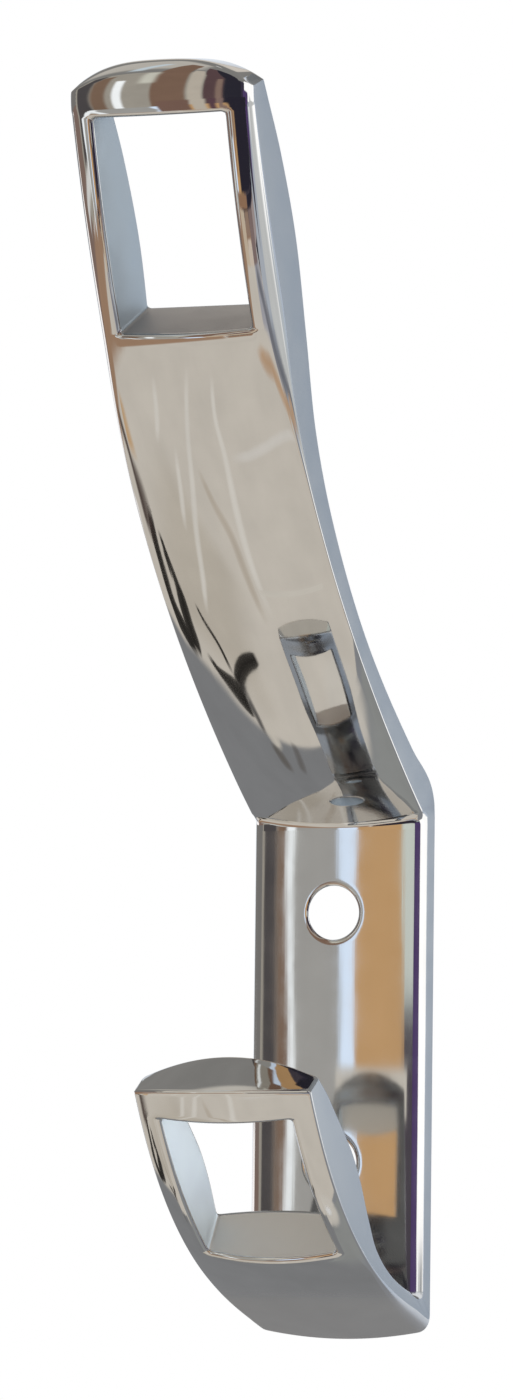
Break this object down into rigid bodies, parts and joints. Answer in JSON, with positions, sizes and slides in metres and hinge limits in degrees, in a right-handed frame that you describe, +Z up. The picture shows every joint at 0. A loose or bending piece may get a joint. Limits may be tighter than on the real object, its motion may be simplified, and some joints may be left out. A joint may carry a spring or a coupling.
{
  "type": "double coat hook",
  "caption": "Polished wall coat hook: a crowned upright plate with screw holes, a long leaning upper arm and a short lower hook, each with a rectangular window near its tip.",
  "frame": {"origin": "on the wall face, on the centre line, midway between the two screw holes", "axes": "+X across the hook to the right as seen from the room, +Y into the wall, +Z up"},
  "size_m": [0.0208, 0.0572, 0.1317],
  "materials": {
    "polished_chrome": "mirror polished fronts, satin side faces",
    "screw_steel": "zinc plated"
  },
  "bodies": {
    "root": {"wall_plate": "polished_chrome", "upper_arm": "polished_chrome", "lower_hook": "polished_chrome", "arm_screw": "screw_steel", "hook_screw": "screw_steel"}
  },
  "joints": []
}
